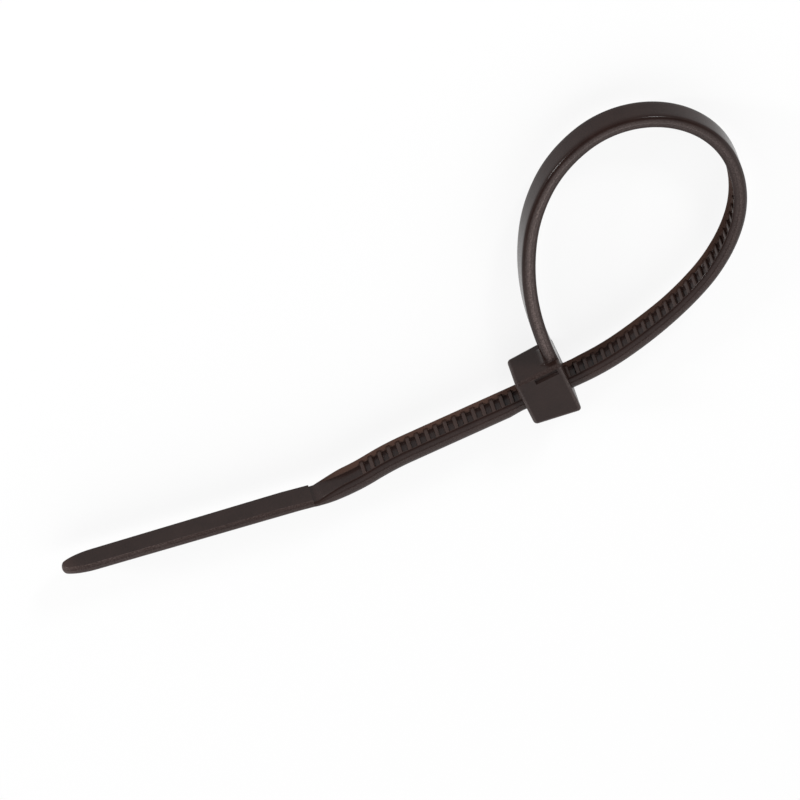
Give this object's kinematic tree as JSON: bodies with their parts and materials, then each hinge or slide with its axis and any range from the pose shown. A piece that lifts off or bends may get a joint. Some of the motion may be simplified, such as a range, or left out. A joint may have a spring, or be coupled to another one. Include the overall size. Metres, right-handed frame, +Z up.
{
  "type": "cable tie",
  "caption": "Slim toothed nylon strap closed into a teardrop loop, its end pulled through the locking head it is moulded with, leaving a bent tail with a rounded tip.",
  "frame": {"origin": "middle of the head's slot, halfway across the strap's width", "axes": "+X along the slot, from the exit side to the entry side, +Y from the slot towards the face where the strap leaves the head, +Z across the strap's width; the tie lies on its side with Z up"},
  "size_m": [0.0694, 0.0264, 0.0044],
  "materials": {
    "nylon": "moulded black nylon, satin with soft highlights along its edges"
  },
  "bodies": {
    "root": {"cable_tie": "nylon"}
  },
  "joints": []
}
